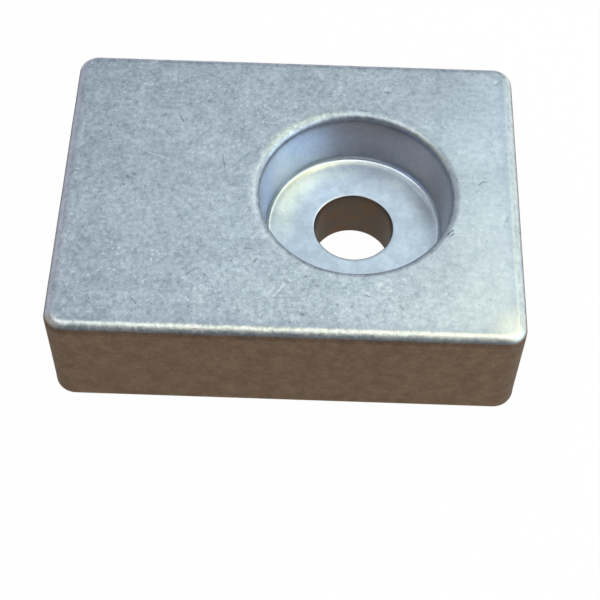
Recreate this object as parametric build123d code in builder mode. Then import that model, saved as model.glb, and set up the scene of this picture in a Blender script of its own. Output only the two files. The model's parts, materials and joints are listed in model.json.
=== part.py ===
"""Sacrificial anode: one zinc casting, a small block with a round pocket sunk into its top and a
hole through the floor of the pocket.

Frame: +Z up and away from the hull, X along the block. The origin is on the hole's axis, in the
plane of the mounting face. The longer end of the block points to -X. All sizes in millimetres.
"""
from build123d import *
from math import radians, tan
import os

# Block, measured round the mounting face
block_length = 44.7
block_width = 33.6
block_height = 12.0
corner_radius = 2.1          # upright corners, in plan
side_draft = 0.5             # degrees, so that the casting leaves its mould
top_edge_radius = 1.0        # soft round between the top and the sides
foot_edge_radius = 0.35      # small round between the mounting face and the sides

# Hole: set out from the nearer end, midway across the width
hole_to_end = 16.0
hole_diameter = 7.8
hole_edge_radius = 0.15      # only at the pocket's floor

# Pocket, sunk round the hole
pocket_depth = 6.0
pocket_floor_diameter = 17.3
pocket_draft = 7.5           # degrees, steep because a short core is pulled from it by hand
pocket_lip_radius = 0.8
pocket_floor_radius = 0.4

# Places that follow from these sizes
block_middle_x = hole_to_end - block_length / 2
pocket_floor_z = block_height - pocket_depth
pocket_floor_rim = pocket_floor_diameter / 2
pocket_mouth_rim = pocket_floor_rim + pocket_depth * tan(radians(pocket_draft))


with BuildPart() as anode:
    # The block is drawn at the mounting face and narrows upwards by the mould's draft.
    with BuildSketch(Plane.XY):
        with Locations((block_middle_x, 0)):
            RectangleRounded(block_length, block_width, corner_radius)
    extrude(amount=block_height, taper=side_draft)
    mounting_face, *_, top_face = anode.faces().sort_by(Axis.Z)
    fillet(top_face.edges(), top_edge_radius)
    fillet(mounting_face.edges(), foot_edge_radius)

    # The pocket is a short cone with its narrow end down, sunk into the top.
    with BuildSketch(Plane.XZ):
        with BuildLine():
            Polyline(
                (0, pocket_floor_z),
                (pocket_floor_rim, pocket_floor_z),
                (pocket_mouth_rim, block_height),
                (0, block_height),
                close=True,
            )
        make_face()
    revolve(axis=Axis.Z, mode=Mode.SUBTRACT)
    floor_rim, mouth_rim = anode.edges(Select.LAST).filter_by(GeomType.CIRCLE).sort_by(Axis.Z)
    fillet(mouth_rim, pocket_lip_radius)
    fillet(floor_rim, pocket_floor_radius)

    # The hole runs from the pocket's floor through to the mounting face, and is sharp at that end.
    Hole(hole_diameter / 2)
    hole_mouth = anode.edges(Select.LAST).filter_by(GeomType.CIRCLE).sort_by(Axis.Z)[-1]
    fillet(hole_mouth, hole_edge_radius)

anode.part.label = "anode"

os.makedirs("parts", exist_ok=True)
export_step(anode.part, "parts/anode.step")
print(f"anode: {anode.part.volume / 1000:.2f} cm3")
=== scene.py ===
"""Sacrificial anode: a small zinc block with a round pocket sunk into its top, in its cast skin.

The block's form is rebuilt as one closed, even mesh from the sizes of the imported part, because a
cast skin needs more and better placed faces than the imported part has. Lengths are in metres, but in
millimetres inside the material and in the lists of marks.
"""
import json
import math
from types import SimpleNamespace

import bpy
import numpy as np
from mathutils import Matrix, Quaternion, Vector


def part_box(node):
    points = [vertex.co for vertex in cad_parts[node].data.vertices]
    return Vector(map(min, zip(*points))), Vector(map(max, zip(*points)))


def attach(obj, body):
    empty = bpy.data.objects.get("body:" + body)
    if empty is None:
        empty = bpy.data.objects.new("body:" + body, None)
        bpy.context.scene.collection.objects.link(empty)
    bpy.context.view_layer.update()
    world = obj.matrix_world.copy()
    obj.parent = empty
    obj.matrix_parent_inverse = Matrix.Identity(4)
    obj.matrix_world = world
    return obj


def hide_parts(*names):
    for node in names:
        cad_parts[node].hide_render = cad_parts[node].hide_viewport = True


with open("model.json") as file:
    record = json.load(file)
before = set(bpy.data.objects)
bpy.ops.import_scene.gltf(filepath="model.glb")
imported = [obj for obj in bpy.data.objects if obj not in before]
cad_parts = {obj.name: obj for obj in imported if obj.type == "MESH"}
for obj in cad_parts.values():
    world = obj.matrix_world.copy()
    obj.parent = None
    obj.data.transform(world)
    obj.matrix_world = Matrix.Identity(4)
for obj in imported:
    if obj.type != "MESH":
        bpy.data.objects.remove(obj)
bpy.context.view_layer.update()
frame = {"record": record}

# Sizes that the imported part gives
foot, crown = (Vector(corner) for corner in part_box("anode"))
block_length = crown.x - foot.x
block_width = crown.y - foot.y
block_height = crown.z - foot.z
block_middle = (foot + crown) / 2
mounts = {mount["name"]: mount for mount in frame["record"]["mounts"]}
bore_radius = mounts["fixing_hole"]["dims"]["r_mm"] / 1000
pocket_floor_z = mounts["fixing_seat"]["pos_m"][2]

# Sizes that it doesn't give
corner_radius = 0.0021
side_draft = math.radians(0.5)
top_edge_radius = 0.0010
foot_edge_radius = 0.00035
bore_edge_radius = 0.00015
pocket_floor_rim = 0.00865
pocket_draft = math.radians(7.5)
pocket_lip_radius = 0.0008
pocket_floor_radius = 0.0004
pocket_mouth_rim = pocket_floor_rim + (block_height - pocket_floor_z) * math.tan(pocket_draft)

# How finely the mesh is divided
station_pitch = 0.00027      # along the outline
corner_steps = 12            # round one upright corner
ring_counts = {              # over each stretch of the section
    "mounting face": 8,
    "foot round": 4,
    "side": 36,
    "top round": 12,
    "top": 58,
    "lip": 10,
    "pocket wall": 18,
    "floor round": 5,
    "pocket floor": 14,
    "bore round": 3,
    "bore wall": 5,
}

# The cast skin: how far the metal lies under its drawn form, and over what distances
skin = {
    "Swell Height": 0.000040,
    "Swell Size": 0.0065,
    "Ripple Height": 0.000016,
    "Ripple Size": 0.0009,
    "Edge Ripple": 2.0,          # how many times as high the ripple is on the round edges
    "Dimple Depth": 0.000045,
    "Dimple Spacing": 0.0030,
    "Dimple Radius": 0.00050,
    "Dimple Share": 0.7,         # of the places that could have one
    "Pocket Share": 0.2,         # how much of all this the pocket has
    "Seed": 4.0,
}

# Marks on the top in millimetres from the hole's axis: where each starts, where it ends, and how far
# it reaches to either side
pale_scratches = (
    ((-20.7, 4.0), (-18.3, 3.1), 0.08),
    ((-18.9, 14.2), (-18.1, 15.1), 0.09),
    ((-8.2, -12.5), (-7.5, -11.4), 0.08),
    ((-7.6, -12.5), (-6.5, -11.1), 0.09),
    ((-10.7, -3.0), (-10.4, -2.5), 0.10),
    ((-24.3, 9.2), (-24.0, 9.2), 0.17),
    ((-20.9, 12.9), (-20.8, 12.6), 0.15),
    ((-26.3, -10.4), (-26.1, -10.5), 0.16),
    ((-14.2, -8.9), (-14.0, -8.8), 0.15),
    ((-9.6, 6.9), (-9.3, 6.9), 0.16),
)
dark_scratches = (
    ((-13.2, 4.0), (-12.9, 2.3), 0.10),
    ((-17.7, 8.8), (-17.4, 8.0), 0.10),
    ((-15.7, -10.4), (-15.0, -9.7), 0.10),
    ((-20.6, -13.1), (-20.1, -13.8), 0.11),
    ((4.1, -13.1), (4.4, -13.4), 0.12),
    ((1.0, -12.0), (1.3, -12.2), 0.11),
    ((9.8, 2.0), (9.8, 1.5), 0.08),
    ((0.2, 10.2), (1.0, 10.1), 0.10),
    ((-10.4, -7.2), (-9.8, -7.2), 0.16),
    ((11.9, 1.2), (12.2, 1.6), 0.10),
    ((12.2, 1.6), (12.7, 1.6), 0.10),
    ((-22.3, 0.9), (-22.2, 0.7), 0.20),
    ((-21.7, 1.3), (-21.6, 1.1), 0.18),
    ((-22.6, -0.1), (-22.5, -0.2), 0.16),
    ((-22.3, 10.3), (-22.2, 10.3), 0.17),
    ((-24.6, 7.3), (-24.5, 7.2), 0.16),
    ((-14.1, -10.3), (-14.0, -10.4), 0.18),
    ((-9.5, -8.7), (-9.3, -8.4), 0.17),
    ((-5.0, -14.3), (-4.8, -14.4), 0.17),
)
gouges = (
    ((8.7, -4.8), (9.3, -4.3), 0.10),
    ((8.9, -5.1), (9.3, -4.7), 0.08),
)


def outline_stations():
    """Points round the block's foot, seen from above, and the outward direction at each."""
    half = Vector((block_length / 2 - corner_radius, block_width / 2 - corner_radius))
    centre = Vector((block_middle.x, block_middle.y))
    points = []
    outward = []
    for quarter in range(4):
        sign_x, sign_y = ((1, 1), (-1, 1), (-1, -1), (1, -1))[quarter]
        corner = centre + Vector((sign_x * half.x, sign_y * half.y))
        for step in range(corner_steps):
            angle = math.pi / 2 * (quarter + step / corner_steps)
            direction = Vector((math.cos(angle), math.sin(angle)))
            points.append(corner + corner_radius * direction)
            outward.append(direction)
        straight = 2 * (half.x if quarter % 2 == 0 else half.y)
        angle = math.pi / 2 * (quarter + 1)
        direction = Vector((round(math.cos(angle)), round(math.sin(angle))))
        along = Vector((-direction.y, direction.x))
        steps = round(straight / station_pitch)
        for step in range(steps):
            points.append(corner + corner_radius * direction + along * (straight * step / steps))
            outward.append(direction)
    return np.array(points), np.array(outward)


stations, station_outward = outline_stations()
station_angle = np.arctan2(stations[:, 1], stations[:, 0])


def outline_ring(inset, z):
    """The block's outline at height z, drawn in by inset from the outline at its foot."""
    flat = stations - inset * station_outward
    return np.column_stack((flat, np.full(len(flat), z)))


def round_ring(radius, z):
    """A circle round the hole's axis with one point for each station of the outline."""
    across = np.column_stack((np.cos(station_angle), np.sin(station_angle))) * radius
    return np.column_stack((across, np.full(len(across), z)))


def span(name):
    """Even steps from 0 to 1 over one stretch of the section, without the last one."""
    return np.arange(ring_counts[name]) / ring_counts[name]


def section_rings():
    """Every ring of the block's skin in order: out over the foot, up the side, back in over the
    top, down into the pocket, across its floor and down the hole."""
    top_z = block_height
    side_top = top_z - top_edge_radius
    side_inset = side_top * math.tan(side_draft)
    round_share = math.tan((math.pi / 2 - pocket_draft) / 2)
    lip_centre = (
        pocket_mouth_rim + pocket_lip_radius * round_share,
        top_z - pocket_lip_radius,
    )
    floor_centre = (
        pocket_floor_rim - pocket_floor_radius * round_share,
        pocket_floor_z + pocket_floor_radius,
    )
    wall_top = (
        lip_centre[0] - pocket_lip_radius * math.cos(pocket_draft),
        lip_centre[1] + pocket_lip_radius * math.sin(pocket_draft),
    )
    wall_foot = (
        floor_centre[0] + pocket_floor_radius * math.cos(pocket_draft),
        floor_centre[1] - pocket_floor_radius * math.sin(pocket_draft),
    )

    rings = []
    for share in span("mounting face"):
        rings.append(
            (1 - share) * round_ring(bore_radius, 0)
            + share * outline_ring(foot_edge_radius, 0)
        )
    for share in span("foot round"):
        angle = share * math.pi / 2
        rings.append(outline_ring(
            foot_edge_radius * (1 - math.sin(angle)),
            foot_edge_radius * (1 - math.cos(angle)),
        ))
    for share in span("side"):
        z = foot_edge_radius + share * (side_top - foot_edge_radius)
        rings.append(outline_ring(z * math.tan(side_draft), z))
    for share in span("top round"):
        angle = share * math.pi / 2
        rings.append(outline_ring(
            side_inset + top_edge_radius * (1 - math.cos(angle)),
            side_top + top_edge_radius * math.sin(angle),
        ))
    for share in span("top"):
        rings.append(
            (1 - share) * outline_ring(side_inset + top_edge_radius, top_z)
            + share * round_ring(lip_centre[0], top_z)
        )
    for share in span("lip"):
        angle = math.pi / 2 + share * (math.pi / 2 - pocket_draft)
        rings.append(round_ring(
            lip_centre[0] + pocket_lip_radius * math.cos(angle),
            lip_centre[1] + pocket_lip_radius * math.sin(angle),
        ))
    for share in span("pocket wall"):
        rings.append(round_ring(
            wall_top[0] + share * (wall_foot[0] - wall_top[0]),
            wall_top[1] + share * (wall_foot[1] - wall_top[1]),
        ))
    for share in span("floor round"):
        angle = -pocket_draft - share * (math.pi / 2 - pocket_draft)
        rings.append(round_ring(
            floor_centre[0] + pocket_floor_radius * math.cos(angle),
            floor_centre[1] + pocket_floor_radius * math.sin(angle),
        ))
    seat_edge = bore_radius + bore_edge_radius
    for share in span("pocket floor"):
        radius = floor_centre[0] + share * (seat_edge - floor_centre[0])
        rings.append(round_ring(radius, pocket_floor_z))
    for share in span("bore round"):
        angle = math.pi / 2 + share * math.pi / 2
        rings.append(round_ring(
            seat_edge + bore_edge_radius * math.cos(angle),
            pocket_floor_z - bore_edge_radius + bore_edge_radius * math.sin(angle),
        ))
    for share in span("bore wall"):
        rings.append(round_ring(bore_radius, (1 - share) * (pocket_floor_z - bore_edge_radius)))
    return rings


def build_block():
    """One closed skin of four-sided faces: stations run round the block, rings run over its section."""
    rings = section_rings()
    ring_total = len(rings)
    station_total = len(stations)
    points = np.concatenate(rings)
    ring, station = np.meshgrid(np.arange(ring_total), np.arange(station_total), indexing="ij")
    next_ring = (ring + 1) % ring_total
    next_station = (station + 1) % station_total
    faces = np.stack((
        ring * station_total + station,
        next_ring * station_total + station,
        next_ring * station_total + next_station,
        ring * station_total + next_station,
    ), axis=-1).reshape(-1, 4)[:, ::-1]
    mesh = bpy.data.meshes.new("cast_block")
    mesh.from_pydata(points.tolist(), [], faces.tolist())
    mesh.shade_smooth()
    sharpest_round = math.radians(60)
    mesh.set_sharp_from_angle(angle=sharpest_round)
    block = bpy.data.objects.new("cast_block", mesh)
    bpy.context.scene.collection.objects.link(block)
    return block


class Wiring:
    """A node tree being wired up. Each step adds a node and hands back what it puts out."""

    def __init__(self, tree):
        self.tree = tree

    def add(self, kind, inputs=None, **settings):
        node = self.tree.nodes.new(kind)
        for name, value in settings.items():
            setattr(node, name, value)
        for name, value in (inputs or {}).items():
            if isinstance(value, bpy.types.NodeSocket):
                self.tree.links.new(value, node.inputs[name])
            else:
                node.inputs[name].default_value = value
        return node

    def math(self, operation, first, second=0.0):
        return self.add("ShaderNodeMath", {0: first, 1: second}, operation=operation).outputs[0]

    def sum(self, first, *others):
        for other in others:
            first = self.math("ADD", first, other)
        return first

    def times(self, first, *others):
        for other in others:
            first = self.math("MULTIPLY", first, other)
        return first

    def mixed(self, parts, shares):
        """The sum of those parts that have a share, each times its share."""
        return self.sum(*(self.times(parts[name], share) for name, share in shares.items()))

    def vector(self, operation, first, second=(0, 0, 0), output=0):
        node = self.add("ShaderNodeVectorMath", {0: first, 1: second}, operation=operation)
        return node.outputs[output]

    def scale(self, vector, factor):
        node = self.add("ShaderNodeVectorMath", {0: vector, "Scale": factor}, operation="SCALE")
        return node.outputs[0]

    def facing(self, outwards, side):
        """How squarely a level direction points to one side of the hole: 1 when straight at it."""
        return self.vector("DOT_PRODUCT", outwards, (*side, 0), output="Value")

    def apart(self, place, spot):
        """How far a place lies from one spot."""
        return self.vector("DISTANCE", place, spot, output="Value")

    def ramp(self, value, start, stop, low=0.0, high=1.0):
        """low where value is start, high where it is stop, with a soft step between."""
        return self.add("ShaderNodeMapRange", {
            "Value": value, "From Min": start, "From Max": stop, "To Min": low, "To Max": high,
        }, interpolation_type="SMOOTHSTEP").outputs["Result"]

    def noise(self, place, size, detail=2.0, roughness=0.5, output="Fac"):
        """Noise that rises and falls about 0.5, with lumps about as wide as size."""
        return self.add("ShaderNodeTexNoise", {
            "Vector": place, "Scale": self.one_over(size), "Detail": detail, "Roughness": roughness,
        }).outputs[output]

    def even_noise(self, place, size, detail=2.0, roughness=0.5):
        """The same noise, rising and falling about 0."""
        return self.math("SUBTRACT", self.noise(place, size, detail, roughness), 0.5)

    def one_over(self, size):
        return self.math("DIVIDE", 1.0, size) if isinstance(size, bpy.types.NodeSocket) else 1 / size

    def spots(self, place, spacing, radius, share, dimensions="3D"):
        """Round spots of differing sizes, up to the radius: 1 at the middle of each, 0 off them. share
        says how many of the cells have one."""
        cells = self.add("ShaderNodeTexVoronoi", {
            "Vector": place, "Scale": self.one_over(spacing),
        }, voronoi_dimensions=dimensions)
        from_middle = self.times(cells.outputs["Distance"], spacing)
        chance, size, _ = self.add("ShaderNodeSeparateXYZ", {0: cells.outputs["Color"]}).outputs
        smallest = 0.45
        reach = self.times(self.ramp(size, 0.0, 1.0, smallest, 1.0), radius)
        spot = self.ramp(self.math("DIVIDE", from_middle, reach), 1.0, 0.25)
        chosen = self.math("LESS_THAN", chance, share)
        return self.times(spot, chosen)

    def tint(self, share, under, over, blend="MIX"):
        """Colour over laid on colour under by share."""
        node = self.add("ShaderNodeMix", data_type="RGBA", blend_type=blend)
        factor, *_ = node.inputs
        first_colour, second_colour = [socket for socket in node.inputs if socket.type == "RGBA"]
        for socket, value in ((factor, share), (first_colour, under), (second_colour, over)):
            if isinstance(value, bpy.types.NodeSocket):
                self.tree.links.new(value, socket)
            else:
                socket.default_value = value
        return next(output for output in node.outputs if output.type == "RGBA")

    def lay(self, under, over, mask, strength=1.0):
        """Colour over laid on colour under where the mask is, as thickly as strength says."""
        share = mask if strength == 1.0 else self.times(mask, strength)
        return self.tint(share, under, over)

    def shade(self, colour, factor):
        """A colour times a factor, or times another colour."""
        return self.tint(1.0, colour, factor, "MULTIPLY")


def cast_skin_tree():
    """Geometry Nodes that sink a surface a little under its drawn form, as metal does in a mould.
    The mounting face and the bore stay as drawn."""
    tree = bpy.data.node_groups.new("cast_skin", "GeometryNodeTree")
    tree.interface.new_socket("Geometry", in_out="INPUT", socket_type="NodeSocketGeometry")
    for name in skin:
        tree.interface.new_socket(name, in_out="INPUT", socket_type="NodeSocketFloat")
    tree.interface.new_socket("Material", in_out="INPUT", socket_type="NodeSocketMaterial")
    tree.interface.new_socket("Geometry", in_out="OUTPUT", socket_type="NodeSocketGeometry")
    w = Wiring(tree)
    given = w.add("NodeGroupInput").outputs
    place = w.add("GeometryNodeInputPosition").outputs[0]
    normal = w.add("GeometryNodeInputNormal").outputs[0]
    *_, height = w.add("ShaderNodeSeparateXYZ", {0: place}).outputs
    up = w.add("ShaderNodeSeparateXYZ", {0: normal}).outputs["Z"]
    from_hole = w.vector("LENGTH", w.vector("MULTIPLY", place, (1, 1, 0)), output="Value")
    seeded = w.vector("ADD", place, w.scale((1, 1, 1), given["Seed"]))

    in_pocket = w.ramp(from_hole, pocket_mouth_rim + 0.0002, pocket_mouth_rim - 0.0002)
    skin_share = w.add("ShaderNodeMix", {0: in_pocket, 2: 1.0, 3: given["Pocket Share"]}).outputs[0]
    off_foot = w.ramp(height, foot_edge_radius, 0.0012)
    off_bore = w.ramp(from_hole, bore_radius + bore_edge_radius, bore_radius + 0.0008)
    share = w.times(off_foot, off_bore, skin_share)

    off_pocket = w.math("SUBTRACT", 1.0, in_pocket)
    on_edge = w.times(w.ramp(up, 0.05, 0.35), w.ramp(up, 0.99, 0.85), off_pocket)
    edge_ripple = w.add("ShaderNodeMix", {0: on_edge, 2: 1.0, 3: given["Edge Ripple"]}).outputs[0]
    swell = w.times(w.noise(seeded, given["Swell Size"], 1.0), given["Swell Height"])
    ripple = w.noise(seeded, given["Ripple Size"], 2.0, 0.6)
    ripple = w.times(ripple, given["Ripple Height"], edge_ripple)
    dimple = w.spots(seeded, given["Dimple Spacing"], given["Dimple Radius"], given["Dimple Share"])
    dimple = w.times(dimple, given["Dimple Depth"])
    sunk = w.times(w.sum(swell, ripple, dimple), share)

    moved = w.add("GeometryNodeSetPosition", {
        "Geometry": given["Geometry"],
        "Offset": w.scale(normal, w.times(sunk, -1.0)),
    })
    real = w.add("GeometryNodeRealizeInstances", {"Geometry": moved.outputs[0]})
    finished = w.add("GeometryNodeSetMaterial", {
        "Geometry": real.outputs[0],
        "Material": given["Material"],
    })
    w.add("NodeGroupOutput", {"Geometry": finished.outputs[0]})
    return tree


def give_cast_skin(block, material):
    """Runs the cast skin over the block and keeps the result as its plain mesh."""
    modifier = block.modifiers.new("cast_skin", "NODES")
    modifier.node_group = cast_skin_tree()
    values = {**skin, "Material": material}
    for item in modifier.node_group.interface.items_tree:
        if item.in_out == "INPUT" and item.name in values:
            modifier[item.identifier] = values[item.name]
    drawn = block.data
    finished = block.evaluated_get(bpy.context.evaluated_depsgraph_get())
    block.data = bpy.data.meshes.new_from_object(finished)
    block.data.name = "cast_block"
    block.modifiers.remove(modifier)
    bpy.data.meshes.remove(drawn)


# Colours of the skin as a screen would show them, before light falls on them; some are painted light,
# shade and reflection, as marked
tones = {
    "zinc": (186, 198, 210),
    "pale zinc": (194, 206, 217),
    "lilac cast": (198, 203, 220),
    # Painted lilac sheen on the left round edge
    "left edge": (206, 208, 224),
    # Painted highlight on the right round edge
    "right edge": (222, 234, 236),
    # Painted shade where the right round starts and on the front right corner's round
    "painted shade where right round starts": (166, 172, 162),
    # Painted highlight along the top's round edge, faint all round and strongest along the front
    "rubbed edge": (255, 252, 234),
    "beside edge": (150, 162, 180),
    # Painted highlight on the top near the front right corner
    "front right corner": (252, 250, 226),
    # Painted highlights on the lip of the pocket
    "lip glow": (238, 246, 226),
    "left lip glow": (236, 244, 250),
    "dull lip": (150, 160, 160),
    "behind lip": (142, 154, 168),
    "foot of lip": (112, 114, 130),
    "line under lip": (100, 106, 122),
    "pocket": (200, 214, 230),
    # Painted light and shade on the pocket's wall: greyer shade at the back and right, pale blue light
    # at the back left and left
    "back wall": (191, 187, 195),
    "right wall": (170, 166, 170),
    "back left wall": (180, 193, 214),
    "left wall": (82, 114, 178),
    # Painted highlight on the pocket's floor at the back left
    "rubbed floor": (248, 251, 226),
    # Painted highlight along the floor's rim, toned down at the back left and the right
    "floor rim": (250, 255, 255),
    "back left floor rim": (176, 184, 174),
    "right floor rim": (192, 202, 214),
    # Painted brown reflection and shade in the hole, with redder blotches
    "hole": (118, 104, 96),
    "redder hole blotch": (132, 102, 86),
    # Pale flecks on the top: painted glints
    "fleck": (240, 247, 250),
    "pit": (126, 138, 150),
    "pale scratch": (236, 244, 248),
    "dark scratch": (110, 120, 130),
    "gouge": (84, 94, 108),
    # Painted warm brown reflection on the sides
    "side": (154, 127, 110),
    "pale side": (160, 133, 116),
    "side fleck": (196, 184, 168),
    "seam": (102, 86, 80),
}
white = (1, 1, 1, 1)

# The skin's noises from coarse to fine: size in millimetres, detail and roughness of each
noise_kinds = {
    "cloud": (6.5, 2.0, 0.5),
    "blotch": (1.5, 1.0, 0.6),
    "mottle": (0.50, 1.0, 0.7),
    "grain": (0.19, 2.0, 0.8),
}

# How strongly the noises lighten and darken the top and the sides
top_speckle = {"blotch": 0.50, "mottle": 0.86, "grain": 0.80}
side_speckle = {"blotch": 0.26, "mottle": 0.74, "grain": 0.80}

# Spots in millimetres: how far apart, how far each reaches, and the share of places that has one
fleck_spots = (0.62, 0.20, 0.5)
pit_spots = (1.10, 0.18, 0.6)
side_fleck_spots = (0.90, 0.16, 0.8)

# How high each thing stands on the top, in millimetres, and less than 0 where it is sunk
relief_heights = {
    "mottle": 0.012,
    "grain": 0.008,
    "pits": -0.012,
    "pale scratches": -0.006,
    "dark scratches": -0.012,
    "gouges": -0.030,
}


def tone(name):
    """The shader colour of one of the tones."""
    linear = [((part / 255 + 0.055) / 1.055) ** 2.4 for part in tones[name]]
    return (*linear, 1.0)


def past_flat(w, across):
    """How many millimetres a point lies outwards of the top's flat part, less than 0 within it."""
    side_inset = (block_height - top_edge_radius) * math.tan(side_draft)
    round_left = (corner_radius - side_inset - top_edge_radius) * 1000
    half_x = (block_length / 2 - corner_radius) * 1000
    half_y = (block_width / 2 - corner_radius) * 1000
    from_middle = w.vector("SUBTRACT", across, (block_middle.x * 1000, block_middle.y * 1000, 0))
    past = w.vector("SUBTRACT", w.vector("ABSOLUTE", from_middle), (half_x, half_y, 0))
    past_x, past_y, _ = w.add("ShaderNodeSeparateXYZ", {0: past}).outputs
    round_corner = w.vector("LENGTH", w.vector("MAXIMUM", past, (0, 0, 0)), output="Value")
    within = w.math("MINIMUM", w.math("MAXIMUM", past_x, past_y), 0.0)
    return w.math("SUBTRACT", w.sum(round_corner, within), round_left)


def whereabouts(w):
    """Where a point of the skin lies, in millimetres along and across the block from the hole and up
    from the mounting face, how far it faces up, and on which side of the hole it is."""
    coordinates = w.add("ShaderNodeTexCoord")
    place = w.vector("MULTIPLY", coordinates.outputs["Object"], (1000, 1000, 1000))
    along, aside, height = w.add("ShaderNodeSeparateXYZ", {0: place}).outputs
    across = w.vector("MULTIPLY", place, (1, 1, 0))
    outwards = w.vector("NORMALIZE", across)
    return SimpleNamespace(
        place=place,
        along=along,
        aside=aside,
        height=height,
        across=across,
        outwards=outwards,
        up=w.add("ShaderNodeSeparateXYZ", {0: coordinates.outputs["Normal"]}).outputs["Z"],
        from_hole=w.vector("LENGTH", across, output="Value"),
        from_left_end=w.math("SUBTRACT", along, foot.x * 1000),
        from_right_end=w.math("SUBTRACT", crown.x * 1000, along),
        from_front=w.math("SUBTRACT", aside, foot.y * 1000),
        to_left=w.ramp(w.facing(outwards, (-0.98, -0.20)), 0.60, 0.96),
        to_back_left=w.ramp(w.facing(outwards, (-0.80, 0.60)), 0.58, 0.97),
        to_right=w.ramp(w.facing(outwards, (0.98, 0.17)), 0.1, 0.9),
        to_back=w.facing(outwards, (0.15, 0.99)),
    )


def surface_masks(w, at):
    """Masks from 0 to 1 for each surface. The rough skin of the outside ends in a fine, uneven line
    at the foot of the pocket's lip."""
    lip_foot = (block_height - pocket_lip_radius * (1 - math.sin(pocket_draft))) * 1000
    mouth = (pocket_mouth_rim + pocket_lip_radius) * 1000
    wander = w.times(w.even_noise(at.place, 0.8), 0.30)
    above_foot = w.math("SUBTRACT", w.sum(at.height, wander), lip_foot)
    within_mouth = w.math("LESS_THAN", at.from_hole, mouth)
    beyond_mouth = w.math("SUBTRACT", 1.0, within_mouth)
    pocket = w.times(w.ramp(above_foot, 0.05, -0.05), within_mouth)
    outside = w.math("SUBTRACT", 1.0, pocket)
    calmer_right = w.ramp(at.along, -6.0, 12.0, 1.0, 0.65)
    calmer_side = w.ramp(at.up, 0.1, 0.5, 0.80, 1.0)
    rim = pocket_floor_rim * 1000
    floor = pocket_floor_z * 1000
    near_rim = w.ramp(at.from_hole, rim - 1.05, rim - 0.25)
    near_floor = w.ramp(at.height, floor + 0.55, floor + 0.25)
    hole = bore_radius * 1000
    return SimpleNamespace(
        pocket=pocket,
        outside=outside,
        rough=w.times(outside, calmer_right, calmer_side),
        top=w.times(w.ramp(at.up, 0.80, 0.97), outside),
        side=w.times(w.ramp(at.up, 0.68, 0.34), beyond_mouth),
        foot_of_lip=w.times(
            w.ramp(above_foot, 0.55, 0.15),
            w.ramp(above_foot, -0.60, -0.05),
            within_mouth,
        ),
        line_under_lip=w.times(w.ramp(w.math("ABSOLUTE", above_foot), 0.13, 0.02), within_mouth),
        wall=w.times(w.ramp(at.up, 0.55, 0.25), pocket),
        floor=w.times(w.ramp(at.up, 0.90, 0.98), pocket),
        floor_rim=w.times(near_rim, near_floor, pocket),
        hole=w.ramp(at.from_hole, hole + 0.12, hole + 0.04),
    )


def edge_masks(w, at, on):
    """Masks for the round top edge and the pocket's lip, and for narrow bands beside them. past_edge
    grows outwards from the start of the round edge, and past_lip inwards from the start of the lip."""
    lip_reach = pocket_lip_radius * math.tan((math.pi / 2 - pocket_draft) / 2)
    lip_start = (pocket_mouth_rim + lip_reach) * 1000
    past_edge = past_flat(w, at.across)
    past_lip = w.math("SUBTRACT", lip_start, at.from_hole)
    wander = w.times(w.even_noise(at.place, 0.7), 0.35)
    worn_edge = w.sum(past_edge, wander)
    worn_lip = w.sum(past_lip, wander)

    # The top edge, and what lies beside it on the top
    # A painted highlight on the round top edge: faint all round, strongest along the front
    highlight_all_round = 0.04
    highlight_band = w.times(w.ramp(past_edge, 0.00, 0.18), w.ramp(worn_edge, 0.80, 0.52))
    along_front = w.times(w.ramp(at.from_front, 1.6, 1.0), w.ramp(at.along, -28.0, -10.0, 0.20, 0.52))
    # Painted shade where the right round starts and on the front right corner's round
    right_start = w.times(
        w.ramp(past_edge, -0.05, 0.12),
        w.ramp(past_edge, 0.38, 0.18),
        w.ramp(at.from_right_end, 1.7, 1.0),
    )
    front_right = Vector((crown.x, foot.y, block_height)) * 1000
    from_round_corner = w.apart(at.place, front_right + Vector((-0.3, 0.3, -0.6)))
    from_corner_glow = w.apart(at.place, front_right + Vector((-1.2, 1.6, 0.0)))
    at_front = w.ramp(at.from_front, 4.3, 2.0)
    at_right = w.ramp(at.from_right_end, 3.4, 1.8)
    front_or_right = w.math("MAXIMUM", at_front, at_right)

    # The lip
    lip_rub = w.times(w.ramp(worn_lip, 0.0, 0.3), w.ramp(worn_lip, 0.60, 0.34))
    lip_glow = w.times(w.ramp(worn_lip, -0.60, 0.10), w.ramp(past_lip, 0.45, 0.15))
    behind_lip = w.times(w.ramp(past_lip, -0.60, -0.15), w.ramp(past_lip, 0.14, 0.02))
    return SimpleNamespace(
        painted_highlight=w.times(highlight_band, w.sum(highlight_all_round, along_front)),
        # Painted highlight on the right round edge
        right=w.times(w.ramp(past_edge, 0.12, 0.36), w.ramp(at.from_right_end, 1.5, 0.8)),
        right_start=w.math("MAXIMUM", right_start, w.ramp(from_round_corner, 1.5, 0.5)),
        # Painted lilac sheen on the left round edge
        left=w.times(w.ramp(past_edge, -0.3, 0.1), w.ramp(at.from_left_end, 2.3, 1.0)),
        beside=w.times(
            w.ramp(past_edge, -0.90, -0.20),
            w.ramp(past_edge, 0.04, -0.04),
            front_or_right,
        ),
        # Painted highlight on the top near the front right corner
        corner_glow=w.ramp(from_corner_glow, 3.2, 0.5, 0.0, 0.3),
        dull_lip=w.times(lip_rub, on.outside, w.ramp(at.to_back_left, 0.0, 1.0, 0.1, 1.0)),
        # Painted highlight on the lip, at the back left and the left
        lip_glow=w.times(lip_glow, w.math("MAXIMUM", at.to_back_left, at.to_left)),
        behind_lip=w.times(behind_lip, w.ramp(at.to_back, 0.55, 0.90)),
    )


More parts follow.
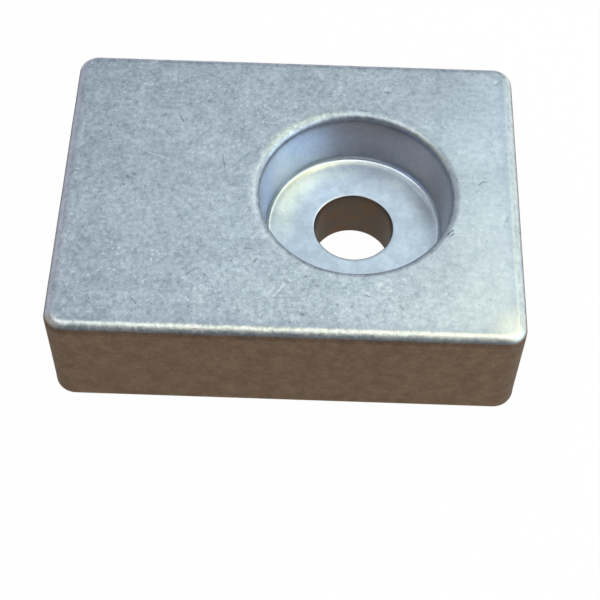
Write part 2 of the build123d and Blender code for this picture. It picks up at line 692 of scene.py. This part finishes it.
def skin_pattern(w, at):
    """The noises by name, each rising and falling about 0, the speckle that they make up on the top,
    and the spots. The pale flecks are painted glints. Most pale flecks and most dark pits lie in
    different patches."""
    noises = {name: w.even_noise(at.place, *kind) for name, kind in noise_kinds.items()}
    redder_than_blue = (1.12, 1.0, 0.90)
    speckle = w.scale(redder_than_blue, w.mixed(noises, top_speckle))
    warped = w.vector("ADD", at.place, w.scale(w.noise(at.place, 0.35, 1.0, output="Color"), 0.22))
    shifted = w.vector("ADD", warped, (7.3, 1.9, 4.1))
    patches = w.noise(at.place, 2.2, 1.0)
    # Pale flecks: painted glints
    flecks = w.spots(warped, *fleck_spots, "2D")
    pits = w.spots(shifted, *pit_spots, "2D")
    return SimpleNamespace(
        noises=noises,
        speckle=w.vector("ADD", speckle, (1, 1, 1)),
        lilac=w.ramp(w.noise(w.vector("ADD", at.place, (31, 17, 5)), 4.0, 1.0), 0.50, 0.72),
        flecks=w.times(flecks, w.ramp(patches, 0.38, 0.66, 0.10, 1.0)),
        pits=w.times(pits, w.ramp(patches, 0.62, 0.38, 0.15, 1.0)),
        side_flecks=w.spots(warped, *side_fleck_spots),
    )


def stroke(w, place, start, end, reach):
    """A short straight mark across the top: 1 along its middle, 0 from its reach out."""
    along = Vector((end[0] - start[0], end[1] - start[1], 0))
    from_start = w.vector("SUBTRACT", place, (*start, 0))
    run = w.vector("DOT_PRODUCT", from_start, along / along.length_squared, output="Value")
    run = w.add("ShaderNodeClamp", {"Value": run}).outputs[0]
    nearest = w.scale(tuple(along), run)
    return w.ramp(w.apart(from_start, nearest), reach, reach * 0.3)


def strokes(w, place, marks):
    """All the strokes of a list as one mask."""
    mask = stroke(w, place, *marks[0])
    for mark in marks[1:]:
        mask = w.math("MAXIMUM", mask, stroke(w, place, *mark))
    return mask


def mark_masks(w, at, on):
    """Masks for the scratches and gouges of the top, each drawn a little crooked."""
    crooked = w.scale(w.noise(at.place, 0.5, 1.0, output="Color"), 0.12)
    half_crook = (0.06, 0.06, 0.06)
    drawn = w.vector("SUBTRACT", w.vector("ADD", at.across, crooked), half_crook)
    drawn = w.vector("MULTIPLY", drawn, (1, 1, 0))
    return SimpleNamespace(
        pale=w.times(strokes(w, drawn, pale_scratches), on.top),
        dark=w.times(strokes(w, drawn, dark_scratches), on.top),
        cut=w.times(strokes(w, drawn, gouges), on.top),
    )


def outside_colour(w, at, on, edge, pattern, marks):
    """Blue-grey zinc with a faint lilac cast in places, warmer to the right, under its speckle, with
    painted highlights on the lip and round edges, painted shade where the right round starts, and pale
    flecks that are painted glints.
    """
    zinc = w.tint(w.ramp(pattern.noises["cloud"], -0.14, 0.14), tone("zinc"), tone("pale zinc"))
    zinc = w.lay(zinc, tone("lilac cast"), pattern.lilac, 0.12)
    warmer = (0.95, 0.945, 0.92, 1)
    warm_right = w.times(w.ramp(at.along, -2.0, 13.0), w.ramp(at.aside, 13.0, -3.0))
    zinc = w.lay(zinc, w.shade(zinc, warmer), warm_right)
    # Painted highlight on the lip
    glow = w.tint(at.to_left, tone("lip glow"), tone("left lip glow"))
    zinc = w.lay(zinc, glow, edge.lip_glow, 0.35)
    zinc = w.lay(zinc, tone("dull lip"), edge.dull_lip, 0.45)
    zinc = w.lay(zinc, tone("pocket"), on.pocket)
    # Painted highlight on the right round edge
    zinc = w.lay(zinc, tone("right edge"), edge.right, 0.85)
    # Painted highlight along the top's round edge
    zinc = w.lay(zinc, tone("rubbed edge"), edge.painted_highlight)
    zinc = w.shade(zinc, w.tint(on.rough, white, pattern.speckle))

    spotted = w.times(on.top, w.ramp(at.along, -6.0, 12.0, 0.64, 0.28))
    # Of these, the front right corner tone is a painted highlight, the left edge tone a painted sheen,
    # the tone where the right round starts painted shade, and the flecks painted glints
    for name, mask, strength in (
        ("beside edge", edge.beside, 0.26),
        ("behind lip", edge.behind_lip, 0.32),
        ("front right corner", edge.corner_glow, 1.0),
        ("painted shade where right round starts", edge.right_start, 0.30),
        ("left edge", edge.left, 0.3),
        ("fleck", w.times(pattern.flecks, spotted), 1.0),
        ("pit", w.times(pattern.pits, spotted), 1.0),
        ("pale scratch", marks.pale, 0.60),
        ("dark scratch", marks.dark, 0.55),
        ("gouge", marks.cut, 0.75),
    ):
        zinc = w.lay(zinc, tone(name), mask, strength)
    return zinc


def side_colour(w, at, pattern):
    """Painted warm brown reflection on the sides, painted a little lighter towards the right, with a
    few paler flecks.
    """
    brown = w.tint(w.ramp(pattern.noises["blotch"], -0.15, 0.15), tone("side"), tone("pale side"))
    # Painted light: the sides a little lighter towards the right
    painted_light_to_right = w.ramp(at.along, 0.0, 14.0, 1.0, 1.07)
    brown = w.shade(brown, w.sum(painted_light_to_right, w.mixed(pattern.noises, side_speckle)))
    return w.lay(brown, tone("side fleck"), pattern.side_flecks, 0.30)


def pocket_wall_colour(w, at, on, colour):
    """Lays the tones of the pocket's wall on a colour: each side has its own painted light and shade,
    the back is painted lighter near its top and darker towards its foot, and a dark line ends the rough
    skin at the foot of the lip."""
    # Painted light and shade for each side of the wall
    wall = w.tint(at.to_right, tone("back wall"), tone("right wall"))
    wall = w.tint(at.to_back_left, wall, tone("back left wall"))
    wall = w.tint(at.to_left, wall, tone("left wall"))
    colour = w.lay(colour, wall, on.wall, 0.80)
    # Painted light near the top of the back of the wall and painted shade towards its foot
    light_at_top = w.ramp(at.to_right, 0.3, 0.8, 1.10, 0.92)
    shade_at_foot = (0.74, 0.74, 0.74, 1)
    floor = pocket_floor_z * 1000
    fall = w.tint(w.ramp(at.height, floor + 4.6, floor + 0.8), light_at_top, shade_at_foot)
    fall = w.tint(w.ramp(at.to_back, 0.0, 0.6), white, fall)
    upright = w.times(on.wall, w.ramp(at.up, 0.40, 0.16))
    colour = w.lay(colour, w.shade(colour, fall), upright)
    colour = w.lay(colour, tone("foot of lip"), on.foot_of_lip, 0.38)
    return w.lay(colour, tone("line under lip"), on.line_under_lip, 0.22)


def pocket_floor_colour(w, at, on, pattern, colour):
    """Lays the tones of the pocket's floor on a colour: a painted highlight at the back left, a little
    cloudy, painted lighter towards the back, and a painted highlight along its rim. The whole pocket
    gets some of the speckle."""
    # Painted highlight at the back left of the floor
    to_floor_highlight = w.ramp(w.facing(at.outwards, (-0.84, 0.54)), 0.5, 1.0)
    painted_highlight = w.times(to_floor_highlight, w.ramp(at.from_hole, 5.0, 7.6), on.floor)
    colour = w.lay(colour, tone("rubbed floor"), painted_highlight, 0.50)
    cloudiness = 0.05
    cloudy = w.times(w.ramp(pattern.noises["blotch"], -0.2, 0.2, -1.0, 1.0), on.floor, cloudiness)
    # Painted light: the floor painted lighter towards the back
    painted_light_to_back = w.ramp(w.times(at.aside, on.floor), 0.5, 7.0, 1.0, 1.26)
    colour = w.shade(colour, w.times(w.sum(1.0, cloudy), painted_light_to_back))
    # Painted highlight along the floor's rim
    rim = w.tint(at.to_back_left, tone("floor rim"), tone("back left floor rim"))
    rim = w.tint(w.ramp(at.to_right, 0.2, 0.7), rim, tone("right floor rim"))
    colour = w.lay(colour, rim, on.floor_rim, 0.6)
    return w.lay(colour, w.shade(colour, pattern.speckle), on.pocket, 0.32)


def hole_and_seam_colour(w, at, on, pattern, colour):
    """Lays painted brown reflection and shade in the hole, blotched redder in places, and a thin dark
    line where the sides meet the round edge, on a colour.
    """
    # Painted brown reflection and shade in the hole, blotched redder in places
    hole_reflection_and_shade = w.tint(w.ramp(pattern.noises["blotch"], -0.1, 0.15), tone("hole"), tone("redder hole blotch"))
    colour = w.lay(colour, hole_reflection_and_shade, on.hole)
    edge_start = (block_height - top_edge_radius) * 1000
    from_seam = w.math("ABSOLUTE", w.math("SUBTRACT", at.height, edge_start))
    from_seam = w.sum(from_seam, w.times(pattern.noises["mottle"], 0.12))
    seam = w.times(w.ramp(from_seam, 0.11, 0.03), on.outside, w.ramp(at.up, 0.3, 0.15))
    return w.lay(colour, tone("seam"), seam, 0.4)


def skin_relief(w, at, on, pattern, marks):
    """Relief in millimetres: fine on the rough skin, and a soft rise where the pocket's floor runs
    out to the back."""
    raised = {
        **pattern.noises,
        "pits": w.times(pattern.pits, on.top),
        "pale scratches": marks.pale,
        "dark scratches": marks.dark,
        "gouges": marks.cut,
    }
    rim = pocket_floor_rim * 1000
    rise_height = 0.15
    off_mounting_face = w.ramp(at.height, 3.0, 5.0)
    rise = w.times(
        w.ramp(at.from_hole, rim - 0.85, rim - 0.15, 0.0, rise_height),
        w.ramp(at.to_back, 0.35, 0.90),
        off_mounting_face,
    )
    return w.sum(w.times(w.mixed(raised, relief_heights), on.rough), rise)


def skin_roughness(w, on, edge, pattern):
    """Smoothest on the pocket's wall, rougher outside, and roughest where the lip is dull."""
    pocket_roughness = 0.26
    outside_roughness = 0.40
    return w.sum(
        w.ramp(on.outside, 0.0, 1.0, pocket_roughness, outside_roughness),
        w.times(pattern.noises["mottle"], on.outside, 0.25),
        w.times(on.side, 0.05),
        w.times(edge.painted_highlight, 0.04),
        w.times(edge.dull_lip, 0.12),
        w.times(on.floor, 0.10),
    )


def cast_zinc():
    """Dull blue-grey zinc as it left the mould: speckled outside, smoother in the pocket, with painted
    warm brown reflection on its sides, painted brown reflection and shade in the hole, and painted
    highlights, shade and glints in places."""
    material = bpy.data.materials.new("cast_zinc")
    material.use_nodes = True
    material.node_tree.nodes.clear()
    w = Wiring(material.node_tree)
    at = whereabouts(w)
    on = surface_masks(w, at)
    edge = edge_masks(w, at, on)
    pattern = skin_pattern(w, at)
    marks = mark_masks(w, at, on)

    colour = outside_colour(w, at, on, edge, pattern, marks)
    colour = w.lay(colour, side_colour(w, at, pattern), on.side)
    colour = pocket_wall_colour(w, at, on, colour)
    colour = pocket_floor_colour(w, at, on, pattern, colour)
    colour = hole_and_seam_colour(w, at, on, pattern, colour)
    relief = skin_relief(w, at, on, pattern, marks)
    millimetre = 0.001
    metallic = 0.88
    metallic_on_wall = 0.65
    bump = w.add("ShaderNodeBump", {"Height": relief, "Distance": millimetre, "Strength": 1.0})
    shader = w.add("ShaderNodeBsdfPrincipled", {
        "Base Color": colour,
        "Metallic": w.ramp(on.wall, 0.0, 1.0, metallic, metallic_on_wall),
        "Roughness": skin_roughness(w, on, edge, pattern),
        "Normal": bump.outputs["Normal"],
    })
    w.add("ShaderNodeOutputMaterial", {"Surface": shader.outputs["BSDF"]})
    return material


def plain_glow(name, strength):
    """A flat white glow for the floor and the backdrop."""
    material = bpy.data.materials.new(name)
    material.use_nodes = True
    shader = material.node_tree.nodes["Principled BSDF"]
    shader.inputs["Base Color"].default_value = (0.02, 0.02, 0.02, 1)
    shader.inputs["Roughness"].default_value = 1.0
    shader.inputs["Specular IOR Level"].default_value = 0.0
    shader.inputs["Emission Color"].default_value = white
    shader.inputs["Emission Strength"].default_value = strength
    return material


def set_the_stage(thing, name, strength):
    """The floor and the backdrop are seen, but neither lights the block nor shades it."""
    thing.name = name
    thing.data.materials.append(plain_glow(name, strength))
    thing.visible_diffuse = False
    thing.visible_glossy = False
    thing.visible_transmission = False
    thing.visible_shadow = False


def build_stage():
    """A round floor in the plane of the mounting face, and a ball round it all."""
    reach = 2.2
    nearly_white = 0.98
    bpy.ops.mesh.primitive_circle_add(radius=reach, vertices=96, fill_type="NGON")
    set_the_stage(bpy.context.object, "floor", nearly_white)
    bpy.ops.mesh.primitive_uv_sphere_add(radius=reach, segments=96, ring_count=48)
    set_the_stage(bpy.context.object, "backdrop", nearly_white)


# Soft light from far away: towards which side, how tight the patch is, and its colour
sky_patches = {
    "right": ((0.92, -0.20, 0.32), 9.0, (1.75, 2.1, 2.4)),
    "left": ((-0.95, -0.10, 0.25), 7.0, (0.40, 0.30, 0.15)),
    "left back": ((-0.75, 0.62, 0.15), 6.0, (0.50, 0.54, 0.62)),
    "right back": ((0.78, 0.62, 0.05), 9.0, (0.80, 0.80, 0.79)),
    "behind": ((-0.05, 1.0, -0.05), 10.0, (0.48, 0.48, 0.52)),
    "below": ((0.0, -0.3, -0.95), 2.0, (0.42, 0.42, 0.32)),
    "all round": ((0.0, 0.0, 1.0), 0.0, (0.06, 0.06, 0.08)),
}

# Soft light from near by: towards which side, how far off, how wide, and its colour
softboxes = {
    "right overhead": ((0.50, 0.12, 0.86), 0.13, 0.080, (2.4, 2.2, 1.4)),
    "front overhead": ((0.36, -0.24, 0.90), 0.13, 0.060, (1.4, 1.5, 1.45)),
    "left overhead": ((-0.41, -0.07, 0.91), 0.13, 0.070, (1.65, 1.7, 1.6)),
    "over the front": ((0.03, -0.31, 0.95), 0.13, 0.060, (1.4, 1.5, 1.5)),
    "front left": ((-0.40, -0.35, 0.84), 0.13, 0.060, (1.0, 1.0, 0.9)),
    "front right": ((0.60, -0.45, 0.66), 0.13, 0.060, (1.0, 0.95, 0.92)),
    "back middle": ((0.02, 0.50, 0.86), 0.14, 0.080, (0.77, 0.85, 0.83)),
    "back left": ((-0.30, 0.58, 0.76), 0.14, 0.070, (0.34, 0.37, 0.39)),
    "back right": ((0.46, 0.50, 0.73), 0.13, 0.060, (1.65, 1.88, 2.0)),
}


def build_world():
    """A sky of soft patches, each fading with the angle from its middle."""
    world = bpy.data.worlds.new("studio")
    bpy.context.scene.world = world
    world.use_nodes = True
    world.node_tree.nodes.clear()
    w = Wiring(world.node_tree)
    direction = w.add("ShaderNodeTexCoord").outputs["Generated"]
    light = None
    for name, (towards, tightness, colour) in sky_patches.items():
        nearness = w.vector("DOT_PRODUCT", direction, Vector(towards).normalized(), output="Value")
        fall = w.times(w.math("SUBTRACT", nearness, 1.0), tightness)
        patch = w.scale(colour, w.math("EXPONENT", fall))
        patch.node.name = name
        light = w.vector("ADD", light, patch) if light else patch
    background = w.add("ShaderNodeBackground", {"Color": light, "Strength": 1.0})
    w.add("ShaderNodeOutputWorld", {"Surface": background.outputs[0]})


def build_softboxes():
    """Round soft lights that face the block. A colour says how bright a softbox's face looks."""
    for name, (towards, distance, size, colour) in softboxes.items():
        light = bpy.data.lights.new(name, "AREA")
        light.shape = "DISK"
        light.size = size
        face = math.pi * (size / 2) ** 2
        light.energy = max(colour) * math.pi * face
        light.color = [part / max(colour) for part in colour]
        away = Vector(towards).normalized()
        lamp = bpy.data.objects.new(name, light)
        lamp.location = block_middle + away * distance
        lamp.rotation_mode = "QUATERNION"
        lamp.rotation_quaternion = away.to_track_quat("Z", "Y")
        lamp.visible_camera = False
        bpy.context.scene.collection.objects.link(lamp)


def build_camera():
    """The photograph's camera, as fitted to the block: where it stood and what it aimed at."""
    eye = Vector((-0.004586, -0.083600, 0.121431))
    aim = Vector((-0.005067, -0.012812, 0.012))
    roll = math.radians(1.604)
    picture_width = 600
    focal_pixels = 1418.4
    data = bpy.data.cameras.new("camera")
    data.sensor_width = 36
    data.lens = focal_pixels / picture_width * data.sensor_width
    data.clip_start = 0.01
    data.clip_end = 10
    camera = bpy.data.objects.new("camera", data)
    camera.location = eye
    camera.rotation_mode = "QUATERNION"
    upright = (aim - eye).to_track_quat("-Z", "Y")
    camera.rotation_quaternion = upright @ Quaternion((0, 0, 1), roll)
    bpy.context.scene.collection.objects.link(camera)
    bpy.context.scene.camera = camera


block = build_block()
give_cast_skin(block, cast_zinc())
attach(block, "root")
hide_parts("anode")

build_stage()
build_world()
build_softboxes()
build_camera()
bpy.context.scene.view_settings.view_transform = "Standard"
